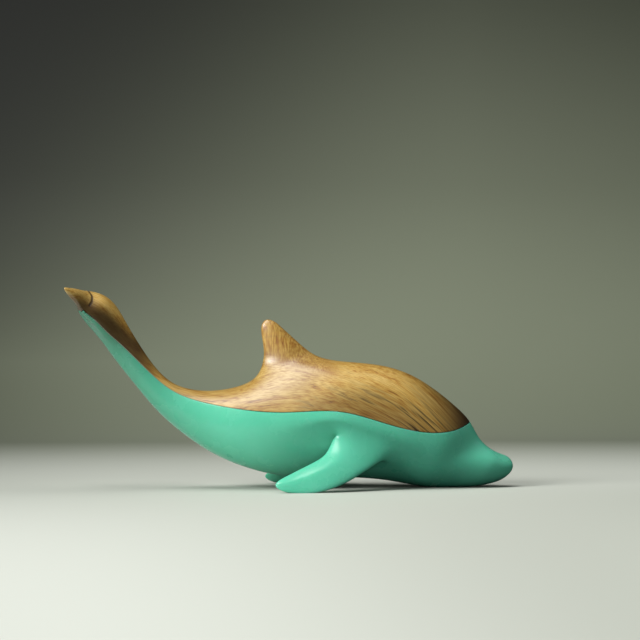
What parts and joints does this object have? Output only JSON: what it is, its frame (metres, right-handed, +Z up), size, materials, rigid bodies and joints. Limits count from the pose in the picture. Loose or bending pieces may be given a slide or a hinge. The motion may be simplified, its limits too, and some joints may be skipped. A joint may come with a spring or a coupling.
{
  "type": "dolphin sculpture",
  "caption": "Small table sculpture of a dolphin with a carved wooden back laid into a smooth mint green resin body, resting on its chin and flippers.",
  "frame": {"origin": "on the floor, in the middle of the bounding box", "axes": "+X towards the snout, +Y to the dolphin's left, +Z up; the XZ plane is the plane of symmetry"},
  "size_m": [0.2222, 0.0772, 0.0973],
  "materials": {
    "wood": "golden brown hardwood with fine curved grain, sanded smooth under a satin oil finish",
    "resin": "mint green cast resin, slightly cloudy, polished to a soft gloss"
  },
  "bodies": {
    "root": {"wooden_back": "wood", "resin_belly": "resin"}
  },
  "joints": []
}
